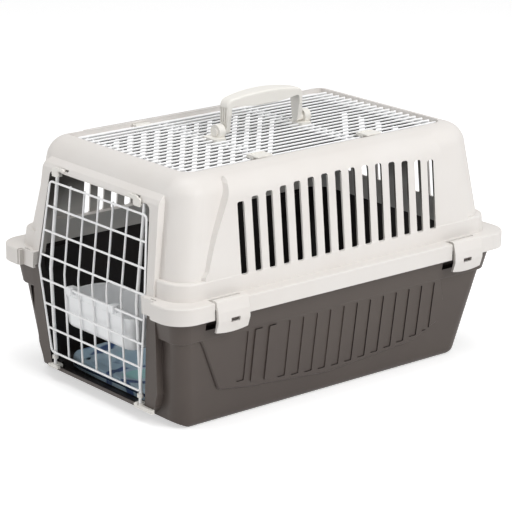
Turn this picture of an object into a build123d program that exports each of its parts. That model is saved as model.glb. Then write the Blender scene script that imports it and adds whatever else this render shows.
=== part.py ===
from build123d import *
import math
import os

os.makedirs("parts", exist_ok=True)

# Overall sizes in millimetres. The door faces -Y, the floor is z = 0.
RIM_LENGTH = 480.0
RIM_WIDTH = 330.0
ROOF_HEIGHT = 270.0
BELT_HEIGHT = 146.3
HALF_L = RIM_LENGTH / 2
HALF_W = RIM_WIDTH / 2
WALL = 2.5
GAP = 0.3
FIT = 0.1
WELD = 0.05

# Lower shell.
FLOOR_HALF_X = HALF_W - 35.3
FLOOR_FRONT = -(HALF_L - 30.3)
FLOOR_REAR = HALF_L - 46.4
SIDE_DRAFT = 0.141
FRONT_DRAFT = 0.1
REAR_DRAFT = 0.23
FLOOR_RADIUS = 18.0
LOWER_RIM_RADIUS = 13.0
FOOT_ROUND = 9.0
FRONT_WALL = 4.5
SHELL_GAP = 0.3
DECK = 3.0
LOWER_TOP = BELT_HEIGHT - DECK - SHELL_GAP
SKIRT_BOTTOM = BELT_HEIGHT - 18.3
BAND_BOTTOM = SKIRT_BOTTOM - 27.0
BAND_TOP = SKIRT_BOTTOM + 3.0
BAND_PROUD = 3.6
PANEL_PROUD = 3.3
SURROUND_FRONT = -(HALF_L - 12.7)
SILL_TOP = 18.0
SILL_FACE = SURROUND_FRONT + 5.8
SILL_BACK = SILL_FACE + 2.4
POCKET_DEPTH = 9.0

# Upper shell.
UPPER_BASE_HALF_X = HALF_W - 20.1
UPPER_TOP_HALF_X = HALF_W - 36.9
UPPER_BASE_Y = HALF_L - 19.6
UPPER_TOP_FRONT = -(HALF_L - 37.0)
UPPER_TOP_REAR = HALF_L - 32.0
SHOULDER = 26.0
PANEL_SHOULDER = 30.0
PANEL_BASE_HALF_X = HALF_W - 16.4
PANEL_TOP_HALF_X = HALF_W - 28.4
LIP_TOP = BELT_HEIGHT + 18.7
FLANGE_BOTTOM = BELT_HEIGHT - 8.8
FLANGE_FRONT = -(HALF_L - 40)
RIM_RADIUS = 28.0
ROOF_PLATE = 2.2
OPENING_HALF_X = HALF_W - 59.0
OPENING_FRONT = -(HALF_L - 59.4)
OPENING_REAR = HALF_L - 55.0
OPENING_RADIUS = 16.0

# Vents and channels share one pitch along each long side.
VENT_COUNT = 15
VENT_PITCH = RIM_LENGTH / 25
VENT_SHIFT = -1.4
LEFT_VENT_SHIFT = 3.8
VENT_WIDTH = 9.2
VENT_BOTTOM = BELT_HEIGHT + 16.2
VENT_END_TOP = ROOF_HEIGHT - 30.0
VENT_ARCH = 10.2
REAR_VENT_COUNT = 7
REAR_VENT_PITCH = 30.0
REAR_VENT_WIDTH = 13.0
CHANNEL_WIDTH = 10.6
CHANNEL_DEPTH = 1.3

# Front door.
DOOR_TOP = ROOF_HEIGHT - 42.6
DOOR_BELT = BELT_HEIGHT - 15.3
DOOR_BOTTOM = 34.9
DOOR_TOP_Y = -(HALF_L - 20.8)
DOOR_BELT_Y = -(HALF_L - 10.3)
DOOR_BOTTOM_Y = -(HALF_L - 14.3)
DOOR_TOP_HALF_X = 87.5
DOOR_BELT_HALF_X = 96.3
DOOR_BOTTOM_HALF_X = 81.5
DOOR_SIDE_GAP = 2.4
DOOR_HINGE_GAP = 4.5
DOOR_CORNER = 5.0
DOOR_WIRE = 2.4
DOOR_ROD = 4.0
DOOR_PIN = 3.4
CROSS_COUNT = 6
CROSS_PITCH = (DOOR_TOP - DOOR_BOTTOM) / (CROSS_COUNT + 1)
UPRIGHT_PITCH = 25.9
HINGE_X = 78.6
HINGE_FOOT_Y = -(HALF_L - 17.7)
HINGE_HEAD_Y = -(HALF_L - 25.7)
LINTEL = ROOF_HEIGHT - 31.0
BEAM_BACK = SURROUND_FRONT + 28.3
PIN_TOP = LINTEL - 0.8
PIN_FOOT = SILL_TOP + 0.8
HOOK_TRAVEL = 6.5
HOOK_FACE = SURROUND_FRONT + 10.6

# Roof door.
FRAME_WIRE = 4.0
LONG_WIRE = 2.4
ROOF_CROSS_WIRE = 3.0
FRAME_Z = ROOF_HEIGHT - 6.5
FRAME_HALF_X = OPENING_HALF_X - 2.5
FRAME_FRONT = OPENING_FRONT + 2.5
FRAME_REAR = OPENING_REAR - 2.5
LONG_COUNT = 18
LONG_PITCH = FRAME_HALF_X * 2 / (LONG_COUNT + 0.8)
LONG_Z = FRAME_Z + FRAME_WIRE / 2 + LONG_WIRE / 2 - WELD
ROOF_CROSS_Z = LONG_Z - LONG_WIRE / 2 - ROOF_CROSS_WIRE / 2 + WELD
PAIR_GAP = 10.0
HANDLE_Y = 6.8
HANDLE_HALF_Y = 61.3
HANDLE_AXIS_Z = ROOF_HEIGHT + 4.0
GRIP_TOP = ROOF_HEIGHT + 44.2
HINGE_CLIP_Y = (-83.5, 81.0)
LATCH_Y = (-75.0, 80.0)
LATCH_WIDTH = 18.0
LATCH_SLOT = ROOF_HEIGHT - ROOF_PLATE - 4.2

# Side clips.
CLIP_Y = RIM_LENGTH * 0.35
CLIP_WIDTH = 42.0
CLIP_AXIS_X = HALF_W - 3.5
CLIP_AXIS_Z = BELT_HEIGHT - 2.8
CLIP_PIN = 3.5


def at_y(outline, y_front, y_rear):
    """Solid between two Y planes from an outline drawn in X and Z."""
    return Pos(0, y_rear, 0) * extrude(Plane.XZ * outline, amount=y_rear - y_front, dir=(0, -1, 0))


def along_x(outline, x_from, x_to):
    """Solid between two X planes from an outline drawn in Y and Z."""
    return Pos(x_from, 0, 0) * extrude(Plane.YZ * outline, amount=x_to - x_from, dir=(1, 0, 0))


def block(x0, x1, y0, y1, z0, z1):
    """Box given by its limits."""
    size = Box(x1 - x0, y1 - y0, z1 - z0)
    return Pos((x0 + x1) / 2, (y0 + y1) / 2, (z0 + z1) / 2) * size


def polygon(points):
    """Closed outline through the given points."""
    return Polygon(*points, align=None)


def slab(z, half_x, y_front, y_rear, radius):
    """Rounded rectangle at one height, for lofting."""
    size = RectangleRounded(2 * half_x, y_rear - y_front, radius)
    return Pos(0, (y_front + y_rear) / 2, z) * size


def four_corners(feature):
    """The feature with its mirror images at the other three corners."""
    pair = feature + mirror(feature, about=Plane.XZ)
    return pair + mirror(pair, about=Plane.YZ)


def both_sides(feature):
    """The feature with its mirror image on the other long side."""
    return feature + mirror(feature, about=Plane.YZ)


def bent_path(points, radius, closed=False):
    """Straight runs joined by tangent arcs, in any direction."""
    corners = [Vector(*p) for p in points]
    count = len(corners)
    turns = range(count) if closed else range(1, count - 1)
    entry = {}
    leave = {}
    middle = {}
    for i in turns:
        back = (corners[i - 1] - corners[i]).normalized()
        ahead = (corners[(i + 1) % count] - corners[i]).normalized()
        half = math.radians(back.get_angle(ahead)) / 2
        reach = radius / math.tan(half)
        entry[i] = corners[i] + back * reach
        leave[i] = corners[i] + ahead * reach
        bisector = (back + ahead).normalized()
        middle[i] = corners[i] + bisector * (radius / math.sin(half) - radius)
    edges = []
    for i in range(count if closed else count - 1):
        after = (i + 1) % count
        start = leave.get(i, corners[i])
        end = entry.get(after, corners[after])
        edges.append(Line(start, end))
        if after in entry:
            edges.append(ThreePointArc(entry[after], middle[after], leave[after]))
    return Wire(edges)


def wire_along(path, diameter):
    """Round wire swept along a path."""
    start = Plane(origin=path @ 0, z_dir=path % 0)
    return sweep(start * Circle(diameter / 2), path=path)


def straight_wire(start, end, diameter):
    """Straight round wire between two points."""
    run = Vector(*end) - Vector(*start)
    return extrude(Plane(origin=start, z_dir=run.normalized()) * Circle(diameter / 2), amount=run.length)


def pin_y(x, z, y0, y1, radius):
    """Round bar along Y."""
    return straight_wire((x, y0, z), (x, y1, z), 2 * radius)


# Heights along the walls.
def lower_half_x(z):
    return FLOOR_HALF_X + SIDE_DRAFT * z


def lower_front(z):
    return FLOOR_FRONT - FRONT_DRAFT * z


def lower_slab(z, side, front, radius):
    return slab(z, lower_half_x(z) + side, lower_front(z) - front, FLOOR_REAR + REAR_DRAFT * z + side, radius)


def upper_share(z):
    return (z - BELT_HEIGHT) / (ROOF_HEIGHT - BELT_HEIGHT)


def upper_half_x(z):
    return UPPER_BASE_HALF_X + (UPPER_TOP_HALF_X - UPPER_BASE_HALF_X) * upper_share(z)


def upper_front(z):
    return -UPPER_BASE_Y + (UPPER_TOP_FRONT + UPPER_BASE_Y) * upper_share(z)


def upper_rear(z):
    return UPPER_BASE_Y + (UPPER_TOP_REAR - UPPER_BASE_Y) * upper_share(z)


def upper_slab(z, side, front, radius):
    return slab(z, upper_half_x(z) + side, upper_front(z) - front, upper_rear(z) + side, radius)


def vent_y(index):
    return VENT_SHIFT + VENT_PITCH * (index - (VENT_COUNT - 1) / 2)


# Axis of the front door, leaning back with the rods.
def hinge_y(z):
    share = (z - PIN_FOOT) / (PIN_TOP - PIN_FOOT)
    return HINGE_FOOT_Y + (HINGE_HEAD_Y - HINGE_FOOT_Y) * share


def hinge_bar(x, z0, z1, radius):
    """Round bar along the leaning axis."""
    return straight_wire((x, hinge_y(z0), z0), (x, hinge_y(z1), z1), 2 * radius)


# Door plane, bent at the belt.
def door_y(z):
    if z > DOOR_BELT:
        share = (z - DOOR_BELT) / (DOOR_TOP - DOOR_BELT)
        return DOOR_BELT_Y + (DOOR_TOP_Y - DOOR_BELT_Y) * share
    share = (DOOR_BELT - z) / (DOOR_BELT - DOOR_BOTTOM)
    return DOOR_BELT_Y + (DOOR_BOTTOM_Y - DOOR_BELT_Y) * share


def door_half_x(z):
    if z > DOOR_BELT:
        share = (z - DOOR_BELT) / (DOOR_TOP - DOOR_BELT)
        return DOOR_BELT_HALF_X + (DOOR_TOP_HALF_X - DOOR_BELT_HALF_X) * share
    share = (DOOR_BELT - z) / (DOOR_BELT - DOOR_BOTTOM)
    return DOOR_BELT_HALF_X + (DOOR_BOTTOM_HALF_X - DOOR_BELT_HALF_X) * share


# The door opening cuts both shells. It is wider where the hinge side swings in.
def jamb(belt_gap):
    return [
        (DOOR_BOTTOM_HALF_X + DOOR_SIDE_GAP + 1.8, SILL_TOP),
        (DOOR_BELT_HALF_X + belt_gap, DOOR_BELT),
        (DOOR_TOP_HALF_X + DOOR_SIDE_GAP, LINTEL),
    ]


opening_outline = polygon(jamb(DOOR_SIDE_GAP) + [(-x, z) for x, z in reversed(jamb(DOOR_HINGE_GAP))])
opening_outline = fillet(opening_outline.vertices().group_by(Axis.Y)[-1], DOOR_CORNER + 2)
opening_outline = fillet(opening_outline.vertices().group_by(Axis.Y)[0], 3)
door_opening = at_y(opening_outline, -HALF_L - 10, -HALF_L + 60)


# The floor rises to the sill along the whole front.
toe = along_x(polygon([
    (SURROUND_FRONT - 15, SILL_TOP - 4.5), (SURROUND_FRONT + 6.8, SILL_TOP - 4.5), (SURROUND_FRONT + 12, 10.6),
    (SURROUND_FRONT + 20, 6.6), (SURROUND_FRONT + 29, 2.6), (SURROUND_FRONT + 36, 0), (SURROUND_FRONT + 36, -5),
    (SURROUND_FRONT - 15, -5),
]), -HALF_W, HALF_W)
above_toe = Pos(0, 1, WALL + 0.1) * toe


# Side clip at the front right corner, hanging from its pin.
def build_clip():
    top = BELT_HEIGHT + 2.1
    low = SKIRT_BOTTOM - 16.0
    belly = HALF_W + 5.0
    side = polygon([
        (HALF_W - 2.2, low), (HALF_W + 0.4, low), (belly, SKIRT_BOTTOM - 2), (belly - 0.5, SKIRT_BOTTOM + 8),
        (HALF_W + 1.6, top - 1.2), (HALF_W - 0.6, top), (CLIP_AXIS_X - 2.2, top),
        (CLIP_AXIS_X - 4.3, CLIP_AXIS_Z + 1.5), (CLIP_AXIS_X - 4.3, CLIP_AXIS_Z - 1.5),
        (CLIP_AXIS_X - 1.5, CLIP_AXIS_Z - 4.3), (HALF_W + 1.2, CLIP_AXIS_Z - 4.3),
        (HALF_W + 1.6, SKIRT_BOTTOM - 2),
    ])
    side = fillet(side.vertices().group_by(Axis.X)[-2:], 7)
    half = CLIP_WIDTH / 2
    body = at_y(side, -half, half)
    face = Wire([
        ThreePointArc((-half, low + 2.4), (0, low), (half, low + 2.4)),
        Line((half, low + 2.4), (half, top + 1)),
        Line((half, top + 1), (-half, top + 1)),
        Line((-half, top + 1), (-half, low + 2.4)),
    ])
    body = body & along_x(Face(face), CLIP_AXIS_X - 10, belly + 5)
    window = block(HALF_W - 6, belly + 5, -4, 8, SKIRT_BOTTOM - 4.0, SKIRT_BOTTOM + 0.5)
    body = body - window
    pin = pin_y(CLIP_AXIS_X, CLIP_AXIS_Z, -half - 2.5, half + 2.5, CLIP_PIN / 2)
    return Pos(0, -CLIP_Y, 0) * (body + pin)


clip_front_right = build_clip()
clip_rear_right = mirror(clip_front_right, about=Plane.XZ)
clip_front_left = mirror(clip_front_right, about=Plane.YZ)
clip_rear_left = mirror(clip_rear_right, about=Plane.YZ)


# Lower shell.
def build_lower_shell():
    outer = loft([lower_slab(0, 0, 0, FLOOR_RADIUS), lower_slab(LOWER_TOP, 0, 0, LOWER_RIM_RADIUS)], ruled=True)
    outer = fillet(outer.edges().group_by(Axis.Z)[0], FOOT_ROUND)
    band = loft([
        lower_slab(BAND_BOTTOM, BAND_PROUD, BAND_PROUD, 16),
        lower_slab(BAND_TOP, BAND_PROUD + 0.8, BAND_PROUD + 1.2, 17),
    ], ruled=True)
    band = fillet(band.edges().group_by(Axis.Z)[0], 2.4)

    panel_outline = polygon([
        (-HALF_L + 43, BAND_BOTTOM + 6), (-HALF_L + 51.5, 91.6), (-HALF_L + 76, 38.5),
        (-HALF_L + 120, 31.9), (-11, 23.0), (HALF_L - 125.6, 32.5), (HALF_L - 86.5, 50),
        (HALF_L - 83.7, 73.7), (HALF_L - 95, BAND_BOTTOM + 6),
    ])
    panel_outline = fillet(panel_outline.vertices().filter_by_position(Axis.Y, 0, BAND_BOTTOM), 8)
    panel = along_x(panel_outline, FLOOR_HALF_X - 2, HALF_W)
    trim = loft([
        lower_slab(0, PANEL_PROUD, 0, 4), lower_slab(LOWER_TOP, PANEL_PROUD, 0, 4),
    ], ruled=True)
    panel = panel & trim
    panel = chamfer(panel.faces().sort_by(Axis.X)[-1].edges(), 1.4)

    surround_outline = polygon([
        (70, 0.4), (88, 8), (103, 22), (109, 38), (112, 107), (112, BAND_TOP),
        (-112, BAND_TOP), (-112, 107), (-109, 38), (-103, 22), (-88, 8), (-70, 0.4),
    ])
    front = SURROUND_FRONT
    surround_side = polygon([
        (front, BAND_TOP), (front + 1.3, 100), (SILL_FACE, SILL_TOP - 2), (SILL_FACE + 2, 0.4),
        (front + 30, 0.4), (front + 30, BAND_TOP),
    ])
    surround = at_y(surround_outline, -HALF_L, -HALF_L + 60) & along_x(surround_side, -HALF_W, HALF_W)

    cavity = loft([
        lower_slab(WALL, -WALL, -FRONT_WALL, FLOOR_RADIUS - 2),
        lower_slab(LOWER_TOP + 1, -WALL, -FRONT_WALL, LOWER_RIM_RADIUS - 1),
    ], ruled=True)
    cavity = fillet(cavity.edges().group_by(Axis.Z)[0], FOOT_ROUND - 3)

    shell = outer + band + both_sides(panel) + surround - toe
    cavity = cavity - above_toe

    # Flange that stands inside the skirt of the upper shell.
    ledge = slab(BAND_TOP, HALF_W - WALL - 1.0, -HALF_L + 9.5, HALF_L - WALL - 1.0, RIM_RADIUS - 4)
    ledge = extrude(ledge, amount=DECK)
    notch = block(CLIP_AXIS_X - 7, HALF_W + 5, -CLIP_Y - 30, -CLIP_Y + 30, BAND_TOP - 1, BAND_TOP + DECK + 1)
    ledge = ledge - four_corners(notch)
    ledge = ledge - block(-106, 106, -HALF_L, -HALF_L + 30, BAND_TOP - 1, BAND_TOP + DECK + 1)
    shell = shell + ledge

    shell = shell - cavity - door_opening

    # Pocket and tooth at each clip, the tooth stands in the clip's window.
    pocket_x = lower_half_x(SKIRT_BOTTOM) - POCKET_DEPTH
    half = CLIP_WIDTH / 2 + 1
    pocket_low = SKIRT_BOTTOM - 15
    backing = block(
        pocket_x - WALL, pocket_x + POCKET_DEPTH - 1, -CLIP_Y - half - WALL, -CLIP_Y + half + WALL,
        pocket_low - WALL, BAND_TOP + DECK)
    pocket = block(pocket_x, HALF_W, -CLIP_Y - half, -CLIP_Y + half, pocket_low, SKIRT_BOTTOM + 2)
    shell = shell + four_corners(backing) - four_corners(pocket)
    web = block(
        pocket_x - 1, CLIP_AXIS_X - 1, -CLIP_Y - 3.5, -CLIP_Y + 7.5, SKIRT_BOTTOM - 2.8, BAND_TOP + 1)
    tooth = block(
        CLIP_AXIS_X - 2, HALF_W + 2.5, -CLIP_Y - 3.5, -CLIP_Y + 7.5, SKIRT_BOTTOM - 2.8, SKIRT_BOTTOM - 0.4)
    shell = shell + four_corners(web + tooth)

    # Trough behind the thin sill lip.
    trough = block(-84, 84, SILL_BACK, SILL_BACK + 25, WALL, SILL_TOP + 5)
    shell = shell - (trough - above_toe)

    # Recess beside the surround on the front.
    recess = polygon([
        (112.5, BAND_BOTTOM - 1), (112.5, 40), (121, 47), (126.5, 62), (128, BAND_BOTTOM - 1),
    ])
    recess = at_y(fillet(recess.vertices(), 3), lower_front(BAND_BOTTOM) - 6, lower_front(BAND_BOTTOM) + 3.2)
    shell = shell - both_sides(recess)

    # Upright channels of the long sides, square to the leaning wall.
    outward = (1, 0, -SIDE_DRAFT)
    bed = Plane(origin=(FLOOR_HALF_X + PANEL_PROUD - CHANNEL_DEPTH, 0, 0), x_dir=(0, 1, 0), z_dir=outward)
    high = BAND_BOTTOM - 0.2
    for index in range(VENT_COUNT):
        y = vent_y(index)
        low = 30.5 + 12 * (y / HALF_L * 1.8) ** 2
        channel = Pos(y, (low + high) / 2) * RectangleRounded(CHANNEL_WIDTH, high - low, 1.5)
        shell = shell - both_sides(extrude(bed * channel, amount=3.0, dir=outward))
    return shell


# Upper shell.
def build_upper_shell():
    outer = loft([
        upper_slab(BELT_HEIGHT, 0, 0, 24), upper_slab(ROOF_HEIGHT, 0, 0, 31),
    ], ruled=True)
    outer = fillet(outer.edges().group_by(Axis.Z)[-1], SHOULDER)
    lip = loft([
        upper_slab(BELT_HEIGHT, 3.6, 3.6, 25), upper_slab(LIP_TOP, 4.9, 4.9, 26),
    ], ruled=True)
    lip = fillet(lip.edges().group_by(Axis.Z)[-1], 2.2)

    # Raised side panels, hollow behind.
    rise = ROOF_HEIGHT - 33 - (LIP_TOP + 6)
    edge = [
        (HALF_L - 39, BELT_HEIGHT + 2), (HALF_L - 40, LIP_TOP), (HALF_L - 48, LIP_TOP + 6),
        (HALF_L - 56, LIP_TOP + 6 + 0.318 * rise), (HALF_L - 64.4, LIP_TOP + 6 + 0.615 * rise),
        (HALF_L - 78, ROOF_HEIGHT - 33), (HALF_L - 95, ROOF_HEIGHT + 1),
    ]

    def side_panel(inset, depth):
        section = polygon([
            (-PANEL_BASE_HALF_X + inset, BELT_HEIGHT + inset), (PANEL_BASE_HALF_X - inset, BELT_HEIGHT + inset),
            (PANEL_TOP_HALF_X - inset, ROOF_HEIGHT - inset), (-PANEL_TOP_HALF_X + inset, ROOF_HEIGHT - inset),
        ])
        section = fillet(section.vertices().group_by(Axis.Y)[-1], PANEL_SHOULDER - inset)
        ahead = [(y - 1.4 * inset, z) for y, z in edge]
        outline = polygon([(-y, z) for y, z in ahead] + list(reversed(ahead)))
        body = extrude(Plane.YZ * outline, amount=40 + depth, dir=(1, 0, 0), taper=20)
        body = Pos(UPPER_TOP_HALF_X - 4 - depth, 0, 0) * body
        return both_sides(body) & at_y(section, -HALF_L, HALF_L)

    surround_outline = polygon([
        (109.5, BELT_HEIGHT), (103.6, ROOF_HEIGHT - 12), (-103.6, ROOF_HEIGHT - 12), (-109.5, BELT_HEIGHT),
    ])
    surround_outline = fillet(surround_outline.vertices().group_by(Axis.Y)[-1], 18)
    front = SURROUND_FRONT + 0.3
    surround_side = polygon([
        (front, BELT_HEIGHT), (front + 11.5, ROOF_HEIGHT - 29), (front + 14, ROOF_HEIGHT - 24.6),
        (front + 32, ROOF_HEIGHT - 12.5), (front + 32, BELT_HEIGHT),
    ])
    surround_side = fillet(surround_side.vertices().group_by(Axis.X)[1:3], 3)
    surround = at_y(surround_outline, -HALF_L, -HALF_L + 70) & along_x(surround_side, -HALF_W, HALF_W)

    cavity = loft([
        upper_slab(BELT_HEIGHT, -WALL, -WALL, 22), upper_slab(ROOF_HEIGHT - ROOF_PLATE, -WALL, -WALL, 29),
    ], ruled=True)
    cavity = fillet(cavity.edges().group_by(Axis.Z)[-1], SHOULDER - WALL)
    shell = outer + lip + side_panel(0, 0) + surround - cavity - side_panel(WALL, 20)

    # Roof opening with its inner step. The corners are square where the frame wire turns up.
    hole_y = (OPENING_FRONT + OPENING_REAR) / 2
    hole_length = OPENING_REAR - OPENING_FRONT

    def roof_outline(grow):
        half = OPENING_HALF_X + grow
        length = hole_length + 2 * grow
        hinge_half = Pos(-half / 2, 0) * RectangleRounded(half, length, 3 + grow)
        return RectangleRounded(2 * half, length, OPENING_RADIUS + grow) + hinge_half

    hole = roof_outline(0)
    ring = roof_outline(WALL)
    step = RectangleRounded(2 * (OPENING_HALF_X - 5), hole_length - 10, OPENING_RADIUS - 5)
    step_top = FRAME_Z - FRAME_WIRE / 2 - GAP
    wall_ring = Pos(0, hole_y, step_top - WALL) * extrude(ring - hole, amount=ROOF_HEIGHT - 0.5 - step_top + WALL)
    step_ring = Pos(0, hole_y, step_top - WALL) * extrude(ring - step, amount=WALL)
    shell = shell - Pos(0, hole_y, ROOF_HEIGHT - 9) * extrude(hole, amount=20)
    shell = shell + wall_ring + step_ring

    # Seats for the hinge clips and slots for the catches of the roof door.
    for y in HINGE_CLIP_Y:
        shell = shell - block(
            -OPENING_HALF_X - 4.3, -OPENING_HALF_X + 8.8, y - 10.3, y + 10.3,
            step_top - WALL - 1, FRAME_Z + 4.5 + GAP)
    for y in LATCH_Y:
        shell = shell - block(
            OPENING_HALF_X - 1, OPENING_HALF_X + WALL + 1, y - LATCH_WIDTH / 2 - 2, y + LATCH_WIDTH / 2 + 2,
            LATCH_SLOT, ROOF_HEIGHT - ROOF_PLATE)

    # Rim with its skirt and deck.
    rim = extrude(slab(SKIRT_BOTTOM, HALF_W, -HALF_L, HALF_L, RIM_RADIUS), amount=BELT_HEIGHT - SKIRT_BOTTOM)
    rim = fillet(rim.edges().group_by(Axis.Z)[-1], 1.8)
    rim = rim - extrude(
        slab(SKIRT_BOTTOM, HALF_W - DECK, -HALF_L + DECK, HALF_L - DECK, RIM_RADIUS - DECK),
        amount=BELT_HEIGHT - SKIRT_BOTTOM - DECK)
    rim = rim - block(-122, 122, -HALF_L - 1, -HALF_L + 6, SKIRT_BOTTOM - 1, BELT_HEIGHT + 1)
    face = block(-122, 122, -HALF_L + 6, -HALF_L + 6 + DECK, SKIRT_BOTTOM, BELT_HEIGHT - 1)
    cheek = block(98, 103.8, -HALF_L + 6, -HALF_L + 14.6, BAND_TOP + GAP, BELT_HEIGHT - 1)
    return_wall = block(119, 122, -HALF_L + 1, -HALF_L + 8, SKIRT_BOTTOM, BELT_HEIGHT - 1)
    rim = rim + face + both_sides(cheek + return_wall)

    # The wall runs on a little way down inside the lower shell, except along the front.
    flange = extrude(
        slab(FLANGE_BOTTOM, UPPER_BASE_HALF_X, -UPPER_BASE_Y, UPPER_BASE_Y, 24),
        amount=BELT_HEIGHT - 1 - FLANGE_BOTTOM)
    rim = rim + (flange - block(-HALF_W, HALF_W, -HALF_L, FLANGE_FRONT, FLANGE_BOTTOM - 1, BELT_HEIGHT))
    inner = slab(SKIRT_BOTTOM - 1, UPPER_BASE_HALF_X - WALL, -UPPER_BASE_Y + WALL, UPPER_BASE_Y - WALL, 22)
    rim = rim - extrude(inner, amount=40)
    rim = rim - both_sides(block(110, 120, -HALF_L + 8.2, -HALF_L + 9.9, BELT_HEIGHT - DECK - 1, BELT_HEIGHT + 1))

    # Notch, knuckles and pin holes for each side clip.
    half = CLIP_WIDTH / 2
    knuckle = block(
        CLIP_AXIS_X - 5, HALF_W, -CLIP_Y - half - 6.5, -CLIP_Y + half + 6.5, CLIP_AXIS_Z - 4.5, BELT_HEIGHT - 1)
    notch_x = CLIP_AXIS_X - 6.2
    tray = block(
        notch_x - 5, notch_x + 1, -CLIP_Y - half - 2.3, -CLIP_Y + half + 2.3, BELT_HEIGHT - 6.5, BELT_HEIGHT - 1)
    trough = block(
        notch_x - 3.7, notch_x + 1, -CLIP_Y - half - GAP, -CLIP_Y + half + GAP, BELT_HEIGHT - 4.3, BELT_HEIGHT + 1)
    notch = block(
        notch_x, HALF_W + 5, -CLIP_Y - half - GAP, -CLIP_Y + half + GAP, SKIRT_BOTTOM - 1, BELT_HEIGHT + 1)
    hole = pin_y(
        CLIP_AXIS_X, CLIP_AXIS_Z, -CLIP_Y - half - 3, -CLIP_Y + half + 3, CLIP_PIN / 2 + FIT)
    rim = rim + four_corners(knuckle + tray) - four_corners(notch + trough + hole)
    shell = shell + rim
    shell = shell - door_opening

    # Flat beam behind the lintel, slotted for the stems of the hooks.
    beam = block(-92, 92, BEAM_BACK - 9, BEAM_BACK, LINTEL, LINTEL + 8.5)
    shell = shell + beam
    for side in (-1, 1):
        middle = side * (HINGE_X - 11 - HOOK_TRAVEL / 2)
        reach = 3.5 + HOOK_TRAVEL / 2 + GAP
        shell = shell - block(
            middle - reach, middle + reach, SURROUND_FRONT + 5, BEAM_BACK + 5, LINTEL + 2.9, LINTEL + 5.3)

    # Vent slots of the long sides and of the rear.
    for index in range(VENT_COUNT):
        y = vent_y(index)
        top = VENT_END_TOP + VENT_ARCH * (1 - (y / (VENT_PITCH * (VENT_COUNT - 1) / 2)) ** 2)
        slot = Pos(y, (VENT_BOTTOM + top) / 2) * RectangleRounded(VENT_WIDTH, top - VENT_BOTTOM, 2.6)
        shell = shell - along_x(slot, 0, HALF_W)
        shell = shell - Pos(0, LEFT_VENT_SHIFT - VENT_SHIFT, 0) * along_x(slot, -HALF_W, 0)
    for index in range(REAR_VENT_COUNT):
        x = REAR_VENT_PITCH * (index - (REAR_VENT_COUNT - 1) / 2)
        height = VENT_END_TOP - VENT_BOTTOM - 4
        slot = Pos(x, (VENT_END_TOP + VENT_BOTTOM + 4) / 2) * RectangleRounded(REAR_VENT_WIDTH, height, 2.6)
        shell = shell - at_y(slot, HALF_L - 60, HALF_L)
    return shell


lower_shell = build_lower_shell()
upper_shell = build_upper_shell()


# Roof door.
frame_points = [
    (0, FRAME_FRONT, FRAME_Z), (FRAME_HALF_X, FRAME_FRONT, FRAME_Z), (FRAME_HALF_X, FRAME_REAR, FRAME_Z),
    (-FRAME_HALF_X, FRAME_REAR, FRAME_Z), (-FRAME_HALF_X, FRAME_FRONT, FRAME_Z),
]


def closed_wire(points, radius, diameter):
    """Loop of wire whose seam lies in the middle of its first run."""
    first = Vector(*points[0])
    return wire_along(bent_path([first] + points[1:] + [first], radius), diameter)


roof_frame_wire = closed_wire([Vector(*p) for p in frame_points], OPENING_RADIUS - 2.5, FRAME_WIRE)
roof_long_wires = []
for index in range(LONG_COUNT):
    x = LONG_PITCH * (index - (LONG_COUNT - 1) / 2)
    roof_long_wires.append(
        straight_wire((x, FRAME_FRONT - 1, LONG_Z), (x, FRAME_REAR + 1, LONG_Z), LONG_WIRE))
pair_y = (HANDLE_Y - HANDLE_HALF_Y, HANDLE_Y + HANDLE_HALF_Y)
roof_cross_y = [
    FRAME_FRONT + 14, pair_y[0] - PAIR_GAP, pair_y[0], pair_y[1] - PAIR_GAP, pair_y[1], FRAME_REAR - 14,
]
cross_reach = FRAME_HALF_X - FRAME_WIRE / 2 + WELD
roof_cross_wires = []
for y in roof_cross_y:
    roof_cross_wires.append(
        straight_wire((-cross_reach, y, ROOF_CROSS_Z), (cross_reach, y, ROOF_CROSS_Z), ROOF_CROSS_WIRE))

# Hinge clips let into the edge of the roof opening, around the frame wire.
roof_hinges = []
for y in HINGE_CLIP_Y:
    body = block(
        -OPENING_HALF_X - 4.0, -OPENING_HALF_X + 8.5, y - 10, y + 10,
        FRAME_Z - 4.0, FRAME_Z + 4.5)
    body = fillet(body.edges().filter_by(Axis.Y), 1.8)
    bore = pin_y(-FRAME_HALF_X, FRAME_Z, y - 11, y + 11, FRAME_WIRE / 2 + FIT)
    roof_hinges.append(body - bore)

# Sliding catches, each held on the outermost lengthwise wire.
roof_latches = []
last_x = LONG_PITCH * (LONG_COUNT - 1) / 2
for y in LATCH_Y:
    bottom = LONG_Z - LONG_WIRE / 2 - GAP
    top = LONG_Z + LONG_WIRE / 2 + GAP
    leg_x = last_x + LONG_WIRE / 2 + GAP
    tip_x = OPENING_HALF_X - 0.4
    y0, y1 = y - LATCH_WIDTH / 2, y + LATCH_WIDTH / 2
    foot = block(last_x - 5, leg_x + 1.4, y0, y1, bottom - 2.2, bottom)
    leg = block(leg_x, leg_x + 1.4, y0, y1, bottom - 1, top + 1)
    tongue = block(leg_x, tip_x, y0, y1, FRAME_Z + FRAME_WIRE / 2 + GAP, FRAME_Z + FRAME_WIRE / 2 + GAP + 1.3)
    plate = block(last_x - 6, leg_x + 4, y0 - 2, y1 + 2, top, ROOF_HEIGHT + 1)
    cover = block(last_x - 6, tip_x, y0 - 2, y1 + 2, ROOF_HEIGHT + GAP, ROOF_HEIGHT + 1.7)
    cover = fillet(cover.edges().filter_by(Axis.Z), 2)
    ridge = block(last_x - 3, last_x - 1, y0 + 2, y1 - 2, ROOF_HEIGHT + 1, ROOF_HEIGHT + 2.5)
    roof_latches.append(foot + leg + tongue + plate + cover + ridge)

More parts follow.
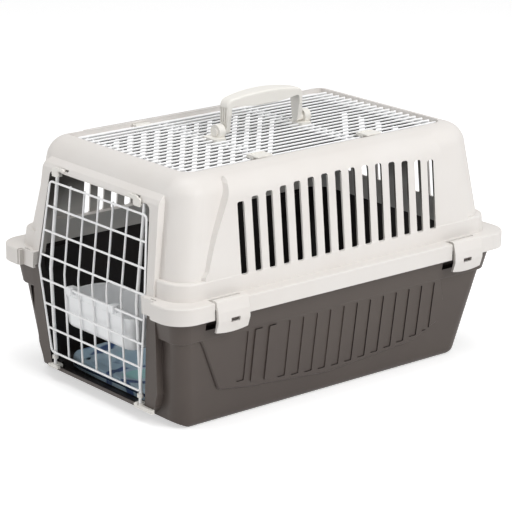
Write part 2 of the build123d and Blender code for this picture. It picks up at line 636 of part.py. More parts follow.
# Rings that carry the handle, clamped on the paired cross wires.
bracket_hole = 4.5
handle_brackets = []
for side in (-1, 1):
    near = HANDLE_Y + side * (HANDLE_HALF_Y + 4.2)
    far = HANDLE_Y + side * (HANDLE_HALF_Y - 4.2)
    y0, y1 = min(near, far), max(near, far)
    ring = pin_y(0, HANDLE_AXIS_Z, y0, y1, 8.3)
    pair_low = HANDLE_Y + side * HANDLE_HALF_Y - PAIR_GAP
    foot_z = LONG_Z + LONG_WIRE / 2
    foot = block(-12, 12, pair_low - 3, pair_low + PAIR_GAP + 3, ROOF_CROSS_Z - 2.6, foot_z + 1.0)
    foot = fillet(foot.edges().filter_by(Axis.Z), 3)
    bracket = ring + foot
    bracket = bracket - pin_y(0, HANDLE_AXIS_Z, y0 - 1, y1 + 1, bracket_hole)
    for x in (-LONG_PITCH / 2, LONG_PITCH / 2):
        bracket = bracket - pin_y(x, LONG_Z, pair_low - 20, pair_low + 30, LONG_WIRE / 2 + 0.02)
    for y in (pair_low, pair_low + PAIR_GAP):
        bracket = bracket - straight_wire(
            (-20, y, ROOF_CROSS_Z), (20, y, ROOF_CROSS_Z), ROOF_CROSS_WIRE + 0.04)
    handle_brackets.append(bracket)


# Handle that folds to either side.
def build_handle():
    leg_in = HANDLE_HALF_Y - 13.0
    leg_out = leg_in + 5.8
    axis = HANDLE_AXIS_Z
    foot = axis - 4.3
    bend = GRIP_TOP - 6.0
    under = GRIP_TOP - 11.8
    outline = Face(Wire([
        Line((-leg_out, foot), (-leg_out, bend)),
        ThreePointArc((-leg_out, bend), (0, GRIP_TOP), (leg_out, bend)),
        Line((leg_out, bend), (leg_out, foot)),
        Line((leg_out, foot), (leg_in, foot)),
        Line((leg_in, foot), (leg_in, under)),
        ThreePointArc((leg_in, under), (0, GRIP_TOP - 15.8), (-leg_in, under)),
        Line((-leg_in, under), (-leg_in, foot)),
        Line((-leg_in, foot), (-leg_out, foot)),
    ]))
    corners = outline.vertices().filter_by_position(Axis.Y, bend - 0.1, bend + 0.1)
    outline = fillet(corners, 9)
    corners = outline.vertices().filter_by_position(Axis.Y, under - 0.1, under + 0.1)
    outline = fillet(corners, 4)
    strap = along_x(outline, -12, 12)

    # Widest in the middle of the grip, narrow at the pivots.
    plan = Face(Wire([
        ThreePointArc((7, -leg_out - 1), (11, 0), (7, leg_out + 1)),
        Line((7, leg_out + 1), (-7, leg_out + 1)),
        ThreePointArc((-7, leg_out + 1), (-11, 0), (-7, -leg_out - 1)),
        Line((-7, -leg_out - 1), (7, -leg_out - 1)),
    ]))
    strap = strap & Pos(0, 0, foot - 1) * extrude(plan, amount=GRIP_TOP - foot + 2)
    strap = fillet(strap.edges().filter_by_position(Axis.Z, under + 1, GRIP_TOP + 1).filter_by(
        GeomType.LINE, reverse=True), 2.4)
    taper = polygon([
        (2.2, foot), (4.8, axis - 1.5), (5.4, axis + 4), (7.2, axis + 16), (12, under), (12, GRIP_TOP + 1),
        (-12, GRIP_TOP + 1), (-12, under), (-7.2, axis + 16), (-5.4, axis + 4), (-4.8, axis - 1.5), (-2.2, foot),
    ])
    strap = strap & at_y(taper, -leg_out - 1, leg_out + 1)
    for x in (-3.6, 0, 3.6):
        rib_gap = block(x - 0.8, x + 0.8, leg_out - 0.8, leg_out + 1, axis + 9, bend - 8)
        strap = strap - rib_gap - mirror(rib_gap, about=Plane.XZ)
    pin = pin_y(0, axis, leg_in + 2, HANDLE_HALF_Y + 5.4, bracket_hole - FIT)
    return Pos(0, HANDLE_Y, 0) * (strap + pin + mirror(pin, about=Plane.XZ))


handle = build_handle()

# Front door: a bent loop, cross wires, uprights and two rods.
cross_y_offset = DOOR_WIRE / 2


def cross_plane(z):
    return door_y(z) + cross_y_offset


door_corners = [
    (0, DOOR_TOP), (DOOR_TOP_HALF_X, DOOR_TOP), (DOOR_BELT_HALF_X, DOOR_BELT), (DOOR_BOTTOM_HALF_X, DOOR_BOTTOM),
    (-DOOR_BOTTOM_HALF_X, DOOR_BOTTOM), (-DOOR_BELT_HALF_X, DOOR_BELT), (-DOOR_TOP_HALF_X, DOOR_TOP),
]
door_frame_wire = closed_wire([Vector(x, cross_plane(z), z) for x, z in door_corners], DOOR_CORNER, DOOR_WIRE)
door_cross_wires = []
for index in range(CROSS_COUNT):
    z = DOOR_TOP - CROSS_PITCH * (index + 1)
    reach = door_half_x(z) - DOOR_WIRE / 2 + WELD
    door_cross_wires.append(
        straight_wire((-reach, cross_plane(z), z), (reach, cross_plane(z), z), DOOR_WIRE))


def upright(x, diameter, z_low, z_high):
    """Upright wire that bends with the door and lies behind its cross wires."""
    offset = (DOOR_WIRE + diameter) / 2 - WELD
    path = bent_path([
        (x, cross_plane(z_low) + offset, z_low),
        (x, cross_plane(DOOR_BELT) + offset, DOOR_BELT),
        (x, cross_plane(z_high) + offset, z_high),
    ], 15)
    return wire_along(path, diameter)


door_upright_wires = []
for index in range(5):
    x = UPRIGHT_PITCH * (index - 2)
    door_upright_wires.append(upright(x, DOOR_WIRE, DOOR_BOTTOM - 1, DOOR_TOP + 1))
door_rods = []
door_collars = []
for side in (-1, 1):
    x = side * HINGE_X
    rod = upright(x, DOOR_ROD, DOOR_BOTTOM - 5, LINTEL - 6)
    rod = rod + hinge_bar(x, PIN_FOOT, DOOR_BOTTOM - 3, DOOR_PIN / 2)
    rod = rod + hinge_bar(x, LINTEL - 8, PIN_TOP, DOOR_PIN / 2)
    collar = hinge_bar(x, DOOR_BOTTOM - 8, DOOR_BOTTOM - 4, 3.4)
    door_rods.append(rod)
    door_collars.append(collar - rod)


# Sliding hooks on the lintel.
def build_hook():
    """Left hook with its eye around the pin of the left rod."""
    front = HOOK_FACE - 2.0
    low = LINTEL - 5.0
    high = LINTEL - 1.6
    axis_y = hinge_y(low)
    eye = block(-HINGE_X - 3.8, -HINGE_X + 5.2, front, axis_y + 3.0, low, high)
    reach = DOOR_PIN / 2 + FIT
    eye = eye - hinge_bar(-HINGE_X, low - 1, LINTEL, reach)
    eye = eye - block(-HINGE_X - 10, -HINGE_X, axis_y - reach, axis_y + reach + 0.2, low - 1, LINTEL)
    plate = block(-HINGE_X - 4.5, -HINGE_X + 7.5, front, HOOK_FACE, low, LINTEL + 4.6)
    plate = fillet(plate.edges().filter_by(Axis.Y), 3.4)
    bar = block(-HINGE_X, -HINGE_X + 17, front, HOOK_FACE, LINTEL + 2.6, LINTEL + 6.0)
    bar = fillet(bar.edges().filter_by(Axis.Y), 1.4)
    stem = block(-HINGE_X + 7.5, -HINGE_X + 14.5, front + 1, BEAM_BACK + 2.4, LINTEL + 3.2, LINTEL + 5.0)
    head = block(-HINGE_X + 6.5, -HINGE_X + 15.5, BEAM_BACK + GAP, BEAM_BACK + 2.4, LINTEL + 1, LINTEL + 7)
    return eye + plate + bar + stem + head


door_hook_left = build_hook()
door_hook_right = Pos(-HOOK_TRAVEL, 0, 0) * mirror(door_hook_left, about=Plane.YZ)


# Brackets that straddle the sill lip.
def build_bracket(inner_x, tab_x, drop, is_open):
    """Right bracket, a thin bar over the lip with a tab on the face of the sill."""
    front = HINGE_FOOT_Y - 3.2
    outer_x = HINGE_X + 4.8
    top = block(inner_x, outer_x, front, SILL_BACK + 2.2, SILL_TOP + GAP, SILL_TOP + 2.8)
    nose = block(inner_x - 2, tab_x, front, SILL_FACE - 0.2 - GAP, SILL_TOP - drop, SILL_TOP + 1.4)
    heel = block(inner_x, outer_x, SILL_BACK + GAP, SILL_BACK + 2.2, SILL_TOP - 1.2, SILL_TOP + 1)
    bracket = top + nose + heel
    reach = DOOR_PIN / 2 + FIT
    bracket = bracket - hinge_bar(HINGE_X, SILL_TOP + 0.5, SILL_TOP + 5, reach)
    if is_open:
        bracket = bracket - block(
            HINGE_X - reach, HINGE_X + reach, front - 1, HINGE_FOOT_Y, SILL_TOP + 0.5, SILL_TOP + 5)
    return bracket


sill_bracket_right = build_bracket(73.4, 103, 3, True)
sill_bracket_left = mirror(build_bracket(72, 88, 1.4, False), about=Plane.YZ)


# Bowl hooked over a cross wire of the front door.
def build_bowl():
    hook_z = DOOR_TOP - CROSS_PITCH * 4
    wire_y = cross_plane(hook_z)
    plate_top = hook_z - 1.6
    rim_z = hook_z - 9.5
    front = wire_y + 4.6
    back = front + 66
    wall = 1.8

    def level(z, inset, rise=0.0):
        """Plan of the bowl at one height, rounder at the back than at the front."""
        y0 = front + inset * 0.45 - rise
        y1 = back - inset * 1.2 + rise * 3
        plan = Pos(0, (y0 + y1) / 2) * Rectangle(2 * (65 - inset + rise * 3), y1 - y0)
        plan = fillet(plan.vertices().group_by(Axis.Y)[0], 15 - inset * 0.5)
        plan = fillet(plan.vertices().group_by(Axis.Y)[-1], 27 - inset * 0.5)
        return Pos(0, 0, z) * plan

    depth = 38
    cup = loft([level(rim_z - depth, 5), level(rim_z, 0)], ruled=True)
    cup = fillet(cup.edges().group_by(Axis.Z)[0], 8)
    inside = loft([level(rim_z - depth + wall, 5 + wall), level(rim_z + 1, wall)], ruled=True)
    inside = fillet(inside.edges().group_by(Axis.Z)[0], 6.5)
    lip = extrude(level(rim_z - 2.4, 0, 0.4), amount=2.4)
    cup = cup + lip - inside

    # Upright plate along the front, rounded at its top corners, that reaches the wire.
    plate = Pos(0, (rim_z - 12 + plate_top) / 2) * Rectangle(96, plate_top - rim_z + 12)
    plate = fillet(plate.vertices().group_by(Axis.Y)[-1], 7)
    cup = cup + at_y(plate, front + 0.2, front + 0.2 + wall)
    over = DOOR_WIRE / 2 + GAP
    for x in (-UPRIGHT_PITCH * 1.5, UPRIGHT_PITCH * 1.5):
        strap = block(x - 4, x + 4, wire_y - over - 1.5, front + 2, plate_top - 4, hook_z + over + 1.5)
        strap = strap - block(x - 5, x + 5, wire_y - over, wire_y + over, plate_top - 5, hook_z + over)
        cup = cup + strap
    return cup


bowl = build_bowl()

# Mat on the floor.
mat = extrude(slab(WALL + GAP, FLOOR_HALF_X - 12.5, FLOOR_FRONT + 20, FLOOR_REAR - 13, 24), amount=11)
mat = fillet(mat.edges().group_by(Axis.Z)[0], 4)
mat = fillet(mat.edges().group_by(Axis.Z)[-1], 4)

nodes = {
    "lower_shell": lower_shell,
    "upper_shell": upper_shell,
    "side_clip_front_right": clip_front_right,
    "side_clip_rear_right": clip_rear_right,
    "side_clip_front_left": clip_front_left,
    "side_clip_rear_left": clip_rear_left,
    "roof_frame_wire": roof_frame_wire,
    "roof_long_wires": Compound(children=roof_long_wires),
    "roof_cross_wires": Compound(children=roof_cross_wires),
    "roof_hinge_front": roof_hinges[0],
    "roof_hinge_rear": roof_hinges[1],
    "roof_latch_front": roof_latches[0],
    "roof_latch_rear": roof_latches[1],
    "handle_bracket_front": handle_brackets[0],
    "handle_bracket_rear": handle_brackets[1],
    "handle": handle,
    "door_frame_wire": door_frame_wire,
    "door_cross_wires": Compound(children=door_cross_wires),
    "door_upright_wires": Compound(children=door_upright_wires),
    "door_rod_left": door_rods[0],
    "door_rod_right": door_rods[1],
    "door_collar_left": door_collars[0],
    "door_collar_right": door_collars[1],
    "door_hook_left": door_hook_left,
    "door_hook_right": door_hook_right,
    "sill_bracket_left": sill_bracket_left,
    "sill_bracket_right": sill_bracket_right,
    "bowl": bowl,
    "mat": mat,
}
for name, shape in nodes.items():
    export_step(shape, f"parts/{name}.step")
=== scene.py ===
import math

import bpy
import numpy as np
from mathutils import Matrix, Vector


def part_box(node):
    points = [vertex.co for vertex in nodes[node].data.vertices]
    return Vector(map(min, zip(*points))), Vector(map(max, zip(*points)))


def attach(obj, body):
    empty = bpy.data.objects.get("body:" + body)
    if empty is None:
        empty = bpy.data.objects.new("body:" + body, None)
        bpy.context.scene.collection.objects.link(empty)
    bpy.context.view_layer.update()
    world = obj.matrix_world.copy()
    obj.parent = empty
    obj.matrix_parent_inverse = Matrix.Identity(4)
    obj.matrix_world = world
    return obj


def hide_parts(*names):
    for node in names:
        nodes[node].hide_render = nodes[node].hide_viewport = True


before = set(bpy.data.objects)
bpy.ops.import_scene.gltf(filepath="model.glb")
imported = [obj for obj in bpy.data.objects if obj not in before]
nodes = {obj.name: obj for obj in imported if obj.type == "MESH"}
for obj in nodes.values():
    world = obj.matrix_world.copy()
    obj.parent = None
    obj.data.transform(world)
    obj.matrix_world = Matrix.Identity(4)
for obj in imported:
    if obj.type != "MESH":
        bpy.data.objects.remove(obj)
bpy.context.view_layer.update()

# Lengths are in metres, unless the name says otherwise.
GRAIN_DEPTH = 0.0002
WEAVE_DEPTH = 0.0004
THREADS_SCALE = 420
ROOF_SHADE_START = 0.172
ROOF_SHADE_FULL = 0.205
MAT_CORNER = 0.024
MAT_SLIMNESS = 0.5
MAT_VOXEL = 0.0045
MAT_SWELL_LIMIT = 0.004
MAT_FRAMES = 20
PIPING_RADIUS = 0.0018
CAMERA_FOCUS_PX = 2296.106
PICTURE_PX = 512
SENSOR_MM = 36
CAMERA_PLACE = (1.911485, -1.571506, 0.881632)
CAMERA_FORWARD = (-0.7384411, 0.60699869, -0.29369598)
CAMERA_ROLL_DEG = 0.26


# Materials.

def tone(red, green, blue):
    """A display colour from 0 to 255 as the shader's linear colour."""
    values = []
    for value in (red, green, blue):
        share = value / 255
        values.append(share / 12.92 if share <= 0.04045 else ((share + 0.055) / 1.055) ** 2.4)
    return (*values, 1.0)


class Bench:
    """A node tree with short words for adding and joining nodes."""

    def __init__(self, tree):
        self.tree = tree

    def add(self, kind, **settings):
        node = self.tree.nodes.new(kind)
        for name, value in settings.items():
            setattr(node, name, value)
        return node

    def join(self, source, target):
        self.tree.links.new(source, target)

    def math(self, operation, first, second=None):
        node = self.add("ShaderNodeMath", operation=operation)
        for socket, value in zip(node.inputs, (first, second)):
            if value is None:
                continue
            if isinstance(value, (int, float)):
                socket.default_value = value
            else:
                self.join(value, socket)
        return node.outputs[0]

    def noise(self, coordinates, scale, detail=2.0, roughness=0.5):
        node = self.add("ShaderNodeTexNoise")
        node.inputs["Scale"].default_value = scale
        node.inputs["Detail"].default_value = detail
        node.inputs["Roughness"].default_value = roughness
        self.join(coordinates, node.inputs["Vector"])
        return node.outputs["Fac"]

    def spread(self, value, low, high, start, end):
        node = self.add("ShaderNodeMapRange")
        self.join(value, node.inputs["Value"])
        for name, number in (("From Min", low), ("From Max", high), ("To Min", start), ("To Max", end)):
            node.inputs[name].default_value = number
        return node.outputs["Result"]

    def blend(self, share, first, second):
        node = self.add("ShaderNodeMix", data_type="RGBA")
        for name, value in (("Factor", share), ("A", first), ("B", second)):
            sockets = [s for s in node.inputs if s.name == name and s.enabled]
            if isinstance(value, (tuple, float, int)):
                sockets[0].default_value = value
            else:
                self.join(value, sockets[0])
        return [s for s in node.outputs if s.enabled][0]


def moulded_grain_group():
    """Fine spark-eroded grain and slow colour drift of injection-moulded plastic."""
    group = bpy.data.node_groups.new("moulded_grain", "ShaderNodeTree")
    for name, kind, way in (
        ("Colour", "NodeSocketColor", "INPUT"), ("Shaded Colour", "NodeSocketColor", "INPUT"),
        ("Roughness", "NodeSocketFloat", "INPUT"),
        ("Colour", "NodeSocketColor", "OUTPUT"), ("Roughness", "NodeSocketFloat", "OUTPUT"),
        ("Height", "NodeSocketFloat", "OUTPUT"),
    ):
        group.interface.new_socket(name=name, in_out=way, socket_type=kind)
    bench = Bench(group)
    inside = bench.add("NodeGroupInput")
    outside = bench.add("NodeGroupOutput")
    place = bench.add("ShaderNodeTexCoord").outputs["Object"]
    fine = bench.noise(place, 1900, 2.0, 0.6)
    coarse = bench.noise(place, 700, 1.0, 0.5)
    drift = bench.noise(place, 9, 3.0, 0.55)
    height = bench.math("ADD", bench.math("MULTIPLY", fine, 0.6), bench.math("MULTIPLY", coarse, 0.4))
    bench.join(height, outside.inputs["Height"])
    share = bench.spread(drift, 0.35, 0.7, 0.0, 1.0)
    drifted = bench.blend(share, inside.outputs["Colour"], inside.outputs["Shaded Colour"])
    bench.join(drifted, outside.inputs["Colour"])
    rough = bench.math("ADD", inside.outputs["Roughness"], bench.spread(fine, 0.3, 0.7, -0.05, 0.05))
    bench.join(rough, outside.inputs["Roughness"])
    return group


grain = moulded_grain_group()


def finish_material(name):
    """A new material with the bench for its nodes and its shader."""
    material = bpy.data.materials.new(name)
    material.use_nodes = True
    bench = Bench(material.node_tree)
    shader = material.node_tree.nodes["Principled BSDF"]
    return material, bench, shader


def painted_inner_shade_group():
    """Masks for painted shade: the faces that look inwards, up to a height, and the shaded part under the
    roof.
    """
    group = bpy.data.node_groups.new("painted_inner_shade", "ShaderNodeTree")
    group.interface.new_socket(name="Centre Height", in_out="INPUT", socket_type="NodeSocketFloat")
    group.interface.new_socket(name="Top Height", in_out="INPUT", socket_type="NodeSocketFloat")
    group.interface.new_socket(name="Mask", in_out="OUTPUT", socket_type="NodeSocketFloat")
    group.interface.new_socket(name="Under Roof", in_out="OUTPUT", socket_type="NodeSocketFloat")
    bench = Bench(group)
    inside = bench.add("NodeGroupInput")
    outside = bench.add("NodeGroupOutput")
    place = bench.add("ShaderNodeTexCoord")
    centre = bench.add("ShaderNodeCombineXYZ")
    bench.join(inside.outputs["Centre Height"], centre.inputs["Z"])
    away = bench.add("ShaderNodeVectorMath", operation="SUBTRACT")
    bench.join(place.outputs["Object"], away.inputs[0])
    bench.join(centre.outputs[0], away.inputs[1])
    unit = bench.add("ShaderNodeVectorMath", operation="NORMALIZE")
    bench.join(away.outputs[0], unit.inputs[0])
    facing = bench.add("ShaderNodeVectorMath", operation="DOT_PRODUCT")
    bench.join(unit.outputs[0], facing.inputs[0])
    bench.join(place.outputs["Normal"], facing.inputs[1])
    split = bench.add("ShaderNodeSeparateXYZ")
    bench.join(place.outputs["Object"], split.inputs[0])
    low = bench.math("LESS_THAN", split.outputs["Z"], 1.0)
    bench.join(inside.outputs["Top Height"], low.node.inputs[1])
    # Painted shade mask: faces turned towards the centre height, below the top height.
    inward = bench.spread(facing.outputs["Value"], -0.02, -0.1, 0.0, 1.0)
    bench.join(bench.math("MULTIPLY", inward, low), outside.inputs["Mask"])
    shaded = bench.spread(split.outputs["Z"], ROOF_SHADE_START, ROOF_SHADE_FULL, 0.0, 1.0)
    bench.join(shaded, outside.inputs["Under Roof"])
    return group


painted_inner_shade = painted_inner_shade_group()


def moulded_plastic(name, colour, shaded, roughness, bump, specular=0.5, inner=None, centre=0.1, top=1.0,
                    painted_roof_shade=None):
    """Moulded plastic; where an inner colour is given, inward-facing faces get it as painted shade, and a
    roof shade colour, where given, adds darker painted shade under the roof.
    """
    material, bench, shader = finish_material(name)
    group = bench.add("ShaderNodeGroup", node_tree=grain)
    group.inputs["Colour"].default_value = colour
    group.inputs["Shaded Colour"].default_value = shaded
    group.inputs["Roughness"].default_value = roughness
    surface = group.outputs["Colour"]
    # Painted shade: faces that look inwards take the darker inner colour, darker still under the roof.
    if inner:
        painted_shade_share = bench.add("ShaderNodeGroup", node_tree=painted_inner_shade)
        painted_shade_share.inputs["Centre Height"].default_value = centre
        painted_shade_share.inputs["Top Height"].default_value = top
        painted_shade_colour = bench.blend(painted_shade_share.outputs["Under Roof"], inner, painted_roof_shade) if painted_roof_shade else inner
        surface = bench.blend(painted_shade_share.outputs["Mask"], surface, painted_shade_colour)
    bench.join(surface, shader.inputs["Base Color"])
    bench.join(group.outputs["Roughness"], shader.inputs["Roughness"])
    relief = bench.add("ShaderNodeBump")
    relief.inputs["Strength"].default_value = bump
    relief.inputs["Distance"].default_value = GRAIN_DEPTH
    bench.join(group.outputs["Height"], relief.inputs["Height"])
    bench.join(relief.outputs["Normal"], shader.inputs["Normal"])
    shader.inputs["Specular IOR Level"].default_value = specular
    return material


# The inner colours are painted shade on the shells' inward faces; the ivory's darkest colour is painted
# shade under the roof.
ivory_plastic = moulded_plastic(
    "ivory_plastic", tone(225, 221, 217), tone(221, 216, 211), 0.46, 0.25,
    inner=tone(176, 172, 167), top=0.256, painted_roof_shade=tone(78, 74, 70))
brown_plastic = moulded_plastic(
    "brown_plastic", tone(84, 76, 71), tone(79, 71, 67), 0.46, 0.3, specular=0.28,
    inner=tone(34, 30, 29), centre=0.2)
fitting_plastic = moulded_plastic("fitting_plastic", tone(236, 233, 227), tone(231, 228, 221), 0.40, 0.15)
white_coating = moulded_plastic("white_coating", tone(251, 251, 251), tone(248, 248, 249), 0.30, 0.08, 0.4)
bowl_plastic = moulded_plastic("bowl_plastic", tone(249, 250, 251), tone(246, 248, 249), 0.34, 0.06)
bowl_shader = bowl_plastic.node_tree.nodes["Principled BSDF"]
bowl_shader.inputs["Transmission Weight"].default_value = 0.06
bowl_shader.inputs["IOR"].default_value = 1.49


def printed_cloth():
    """Woven cloth with soft leaf-like arcs and rounded patches in blue, teal and navy."""
    material, bench, shader = finish_material("mat_cloth")
    place = bench.add("ShaderNodeTexCoord").outputs["Object"]
    weave_place = bench.add("ShaderNodeMapping")
    weave_place.inputs["Scale"].default_value = (1, 1, 0.15)
    bench.join(place, weave_place.inputs["Vector"])
    wander = bench.add("ShaderNodeTexNoise")
    wander.inputs["Scale"].default_value = 9
    wander.inputs["Detail"].default_value = 1
    bench.join(place, wander.inputs["Vector"])
    shift = bench.add("ShaderNodeVectorMath", operation="SCALE")
    bench.join(wander.outputs["Color"], shift.inputs[0])
    shift.inputs["Scale"].default_value = 0.06
    bent = bench.add("ShaderNodeVectorMath", operation="ADD")
    bench.join(weave_place.outputs["Vector"], bent.inputs[0])
    bench.join(shift.outputs["Vector"], bent.inputs[1])
    cells = bench.add("ShaderNodeTexVoronoi", feature="F1")
    cells.inputs["Scale"].default_value = 13
    cells.inputs["Randomness"].default_value = 0.75
    bench.join(bent.outputs["Vector"], cells.inputs["Vector"])
    distance = cells.outputs["Distance"]
    tint = bench.noise(place, 14, 2.0, 0.5)
    wash = bench.blend(bench.spread(tint, 0.38, 0.62, 0, 1), tone(176, 204, 222), tone(208, 228, 240))
    teal = bench.blend(bench.spread(tint, 0.35, 0.65, 0, 1), tone(154, 216, 216), tone(184, 226, 228))
    inner = bench.spread(distance, 0.24, 0.27, 1, 0)
    colour = bench.blend(inner, wash, teal)
    ring_start = bench.spread(distance, 0.36, 0.385, 0, 1)
    ring_end = bench.spread(distance, 0.5, 0.53, 1, 0)
    ring = bench.math("MULTIPLY", ring_start, ring_end)
    gaps = bench.spread(bench.noise(place, 21, 1.0, 0.5), 0.46, 0.5, 0, 1)
    colour = bench.blend(bench.math("MULTIPLY", ring, gaps), colour, tone(68, 96, 146))
    warp = bench.add("ShaderNodeTexWave", wave_type="BANDS", bands_direction="X")
    warp.inputs["Scale"].default_value = THREADS_SCALE
    bench.join(place, warp.inputs["Vector"])
    weft = bench.add("ShaderNodeTexWave", wave_type="BANDS", bands_direction="Y")
    weft.inputs["Scale"].default_value = THREADS_SCALE
    bench.join(place, weft.inputs["Vector"])
    threads = bench.math("MULTIPLY", warp.outputs["Fac"], weft.outputs["Fac"])
    shade = bench.spread(threads, 0, 1, 0.88, 1.04)
    mix = bench.add("ShaderNodeVectorMath", operation="SCALE")
    bench.join(colour, mix.inputs[0])
    bench.join(shade, mix.inputs["Scale"])
    bench.join(mix.outputs["Vector"], shader.inputs["Base Color"])
    shader.inputs["Roughness"].default_value = 0.88
    shader.inputs["Sheen Weight"].default_value = 0.15
    relief = bench.add("ShaderNodeBump")
    relief.inputs["Strength"].default_value = 0.35
    relief.inputs["Distance"].default_value = WEAVE_DEPTH
    bench.join(threads, relief.inputs["Height"])
    bench.join(relief.outputs["Normal"], shader.inputs["Normal"])
    return material


mat_cloth = printed_cloth()
piping_cloth = moulded_plastic("piping_cloth", tone(40, 56, 84), tone(34, 48, 74), 0.85, 0.5, 0.2)

WIRES = ("roof_frame_wire", "roof_long_wires", "roof_cross_wires", "door_frame_wire", "door_cross_wires",
         "door_upright_wires", "door_rod_left", "door_rod_right")
for name, node in nodes.items():
    if name == "lower_shell":
        finish = brown_plastic
    elif name == "upper_shell" or name.startswith("side_clip"):
        finish = ivory_plastic
    elif name in WIRES:
        finish = white_coating
    elif name == "bowl":
        finish = bowl_plastic
    elif name == "mat":
        finish = mat_cloth
    else:
        finish = fitting_plastic
    node.data.materials.clear()
    node.data.materials.append(finish)


# The padded mat.

def only(piece):
    """The piece alone is selected and active."""
    bpy.ops.object.select_all(action="DESELECT")
    piece.select_set(True)
    bpy.context.view_layer.objects.active = piece


def stuffed_pad(name, low, high, corner, slim):
    """A thin pad that a short cloth simulation swells between its seams."""
    centre = (low + high) / 2
    size = high - low
    bpy.ops.object.select_all(action="DESELECT")
    bpy.ops.mesh.primitive_cube_add(size=1, location=centre)
    pad = bpy.context.object
    pad.name = name
    pad.scale = (size.x - 0.006, size.y - 0.006, size.z * slim)
    bpy.ops.object.transform_apply(location=True, rotation=True, scale=True)
    bpy.ops.object.mode_set(mode="EDIT")
    bpy.ops.mesh.select_all(action="DESELECT")
    bpy.ops.object.mode_set(mode="OBJECT")
    for edge in pad.data.edges:
        first, second = (pad.data.vertices[i].co for i in edge.vertices)
        edge.select = abs(first.z - second.z) > size.z * slim * 0.5
    bpy.ops.object.mode_set(mode="EDIT")
    bpy.ops.mesh.select_mode(type="EDGE")
    bpy.ops.mesh.bevel(offset=corner, segments=6)
    bpy.ops.object.mode_set(mode="OBJECT")
    remesh = pad.modifiers.new("even_mesh", "REMESH")
    remesh.mode = "VOXEL"
    remesh.voxel_size = MAT_VOXEL
    only(pad)
    bpy.ops.object.modifier_apply(modifier=remesh.name)
    start = np.array([v.co[:] for v in pad.data.vertices])
    cloth = pad.modifiers.new("swell", "CLOTH")
    cloth.settings.use_pressure = True
    cloth.settings.uniform_pressure_force = 3.0
    cloth.settings.quality = 5
    cloth.settings.tension_stiffness = 25
    cloth.settings.compression_stiffness = 25
    cloth.settings.shear_stiffness = 8
    cloth.settings.bending_stiffness = 1.5
    cloth.settings.effector_weights.gravity = 0
    cloth.point_cache.frame_end = MAT_FRAMES
    for frame_number in range(1, MAT_FRAMES + 1):
        bpy.context.scene.frame_set(frame_number)
    shaped = pad.evaluated_get(bpy.context.evaluated_depsgraph_get())
    moved = np.array([v.co[:] for v in shaped.data.vertices])
    pad.modifiers.remove(cloth)
    bpy.context.scene.frame_set(1)
    step = moved - start
    reach = np.linalg.norm(step, axis=1, keepdims=True)
    moved = start + step * np.minimum(1, MAT_SWELL_LIMIT / np.maximum(reach, 1e-9))
    # Soft hollows and creases of a filling that has been lain on.
    across = (moved[:, 0] - centre.x) / size.x
    along = (moved[:, 1] - centre.y) / size.y
    top = moved[:, 2] > centre.z
    folds = 0.0011 * np.sin(11 * along + 2.2 * np.sin(5 * across)) * np.cos(9 * across + 3 * along)
    folds += 0.0006 * np.sin(31 * along + 4 * across) * np.sin(23 * across - 6 * along)
    edge = np.clip((0.5 - np.maximum(abs(across), abs(along))) * 9, 0, 1)
    moved[:, 2] += np.where(top, folds * edge, 0)
    moved[:, 2] = np.clip(moved[:, 2], low.z + 0.0001, high.z + 0.002)
    moved[:, 0] = np.clip(moved[:, 0], low.x, high.x)
    moved[:, 1] = np.clip(moved[:, 1], low.y, high.y)
    for vertex, place in zip(pad.data.vertices, moved):
        vertex.co = place
    smooth = pad.modifiers.new("soften", "SMOOTH")
    smooth.iterations = 3
    smooth.factor = 0.4
    only(pad)
    bpy.ops.object.modifier_apply(modifier=smooth.name)
    rounder = pad.modifiers.new("rounder", "SUBSURF")
    rounder.levels = 1
    rounder.render_levels = 1
    only(pad)
    bpy.ops.object.modifier_apply(modifier=rounder.name)
    bpy.ops.object.shade_smooth()
    return pad


def seam_piping(name, pad, radius, samples=150):
    """Corded seam that follows the pad's outermost line."""
    points = np.array([v.co[:] for v in pad.data.vertices])
    middle = (points.max(axis=0) + points.min(axis=0)) / 2
    half = (points.max(axis=0) - points.min(axis=0)) / 2
    line = []
    for index in range(samples):
        angle = 2 * math.pi * index / samples
        ray = np.array([math.cos(angle), math.sin(angle)])
        scale = 1 / max(abs(ray[0]) / half[0], abs(ray[1]) / half[1])
        outward = (points[:, :2] - middle[:2]) @ ray
        sideways = abs((points[:, :2] - middle[:2]) @ np.array([-ray[1], ray[0]]))
        near = sideways < 0.004
        line.append(outward[near].max() if near.any() else scale)
    line = np.array(line)
    line = (np.roll(line, 1) + line * 2 + np.roll(line, -1)) / 4
    curve = bpy.data.curves.new(name, "CURVE")
    curve.dimensions = "3D"
    curve.bevel_depth = radius
    curve.bevel_resolution = 3
    spline = curve.splines.new("POLY")
    spline.points.add(samples - 1)
    for index, reach in enumerate(line):
        angle = 2 * math.pi * index / samples
        x = middle[0] + math.cos(angle) * (reach - radius * 0.5)
        y = middle[1] + math.sin(angle) * (reach - radius * 0.5)
        spline.points[index].co = (x, y, middle[2], 1)
    spline.use_cyclic_u = True
    piece = bpy.data.objects.new(name, curve)
    bpy.context.collection.objects.link(piece)
    only(piece)
    bpy.ops.object.convert(target="MESH")
    bpy.ops.object.shade_smooth()
    return bpy.context.object


mat_low, mat_high = (Vector(corner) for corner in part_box("mat"))
mat_pad = stuffed_pad("mat_pad", mat_low, mat_high, MAT_CORNER, MAT_SLIMNESS)
mat_pad.data.materials.clear()
mat_pad.data.materials.append(mat_cloth)
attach(mat_pad, "shells")
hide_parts("mat")
mat_piping = seam_piping("mat_piping", mat_pad, PIPING_RADIUS)
mat_piping.data.materials.clear()
mat_piping.data.materials.append(piping_cloth)
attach(mat_piping, "shells")


# Floor, light and camera.

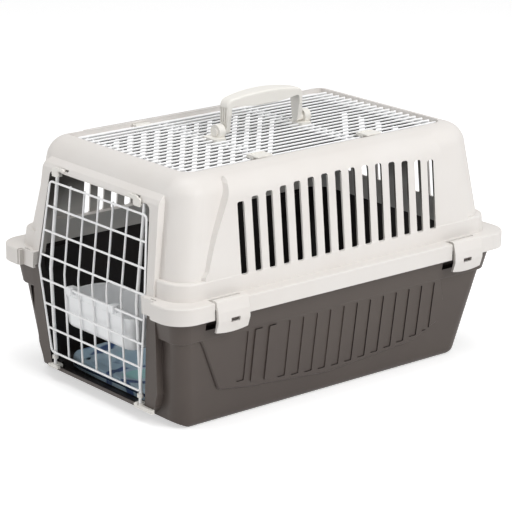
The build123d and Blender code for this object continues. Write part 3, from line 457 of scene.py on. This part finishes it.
def white_to_the_camera(tree):
    """White where the camera looks straight at it, or sees it mirrored or through glass."""
    bench = Bench(tree)
    rays = bench.add("ShaderNodeLightPath")
    seen = bench.math("MAXIMUM", rays.outputs["Is Camera Ray"], rays.outputs["Is Glossy Ray"])
    return bench, bench.math("MAXIMUM", seen, rays.outputs["Is Transmission Ray"])


bpy.ops.object.select_all(action="DESELECT")
bpy.ops.mesh.primitive_plane_add(size=14, location=(0, 0, 0))
floor = bpy.context.object
floor.name = "floor"
floor_finish = bpy.data.materials.new("pale_floor")
floor_finish.use_nodes = True
floor_shader = floor_finish.node_tree.nodes["Principled BSDF"]
floor_shader.inputs["Base Color"].default_value = (0.86, 0.86, 0.86, 1)
floor_shader.inputs["Roughness"].default_value = 0.9
floor_shader.inputs["Specular IOR Level"].default_value = 0.1
bench, seen = white_to_the_camera(floor_finish.node_tree)
floor_shader.inputs["Emission Color"].default_value = (1, 1, 1, 1)
bench.join(bench.math("MULTIPLY", seen, 0.5), floor_shader.inputs["Emission Strength"])
floor.data.materials.append(floor_finish)

world = bpy.data.worlds.new("studio")
bpy.context.scene.world = world
world.use_nodes = True
bench, seen = white_to_the_camera(world.node_tree)
background = world.node_tree.nodes["Background"]
background.inputs["Color"].default_value = (1, 1, 1, 1)
bench.join(bench.spread(seen, 0, 1, 0.36, 1.0), background.inputs["Strength"])


def soft_lamp(name, place, aim, width, power):
    lamp = bpy.data.lights.new(name, "AREA")
    lamp.shape = "DISK"
    lamp.size = width
    lamp.energy = power
    piece = bpy.data.objects.new(name, lamp)
    bpy.context.collection.objects.link(piece)
    piece.location = place
    piece.rotation_euler = (Vector(aim) - Vector(place)).to_track_quat("-Z", "Y").to_euler()


soft_lamp("side_lamp", (2.6, 0.1, 1.5), (0, 0, 0.12), 1.8, 40)
soft_lamp("top_lamp", (0.3, -0.2, 2.6), (0, 0, 0.1), 2.0, 27)
soft_lamp("front_lamp", (-1.6, -2.5, 0.9), (0, 0, 0.12), 1.4, 17)

camera_data = bpy.data.cameras.new("camera")
camera_data.sensor_width = SENSOR_MM
camera_data.lens = CAMERA_FOCUS_PX / PICTURE_PX * SENSOR_MM
camera_data.clip_end = 50
camera = bpy.data.objects.new("camera", camera_data)
bpy.context.collection.objects.link(camera)
forward = Vector(CAMERA_FORWARD).normalized()
right = forward.cross(Vector((0, 0, 1))).normalized()
up = right.cross(forward)
roll = math.radians(CAMERA_ROLL_DEG)
right, up = right * math.cos(roll) + up * math.sin(roll), up * math.cos(roll) - right * math.sin(roll)
turn = Matrix((right, up, -forward)).transposed().to_4x4()
camera.matrix_world = Matrix.Translation(CAMERA_PLACE) @ turn
bpy.context.scene.camera = camera
bpy.context.scene.view_settings.view_transform = "Standard"
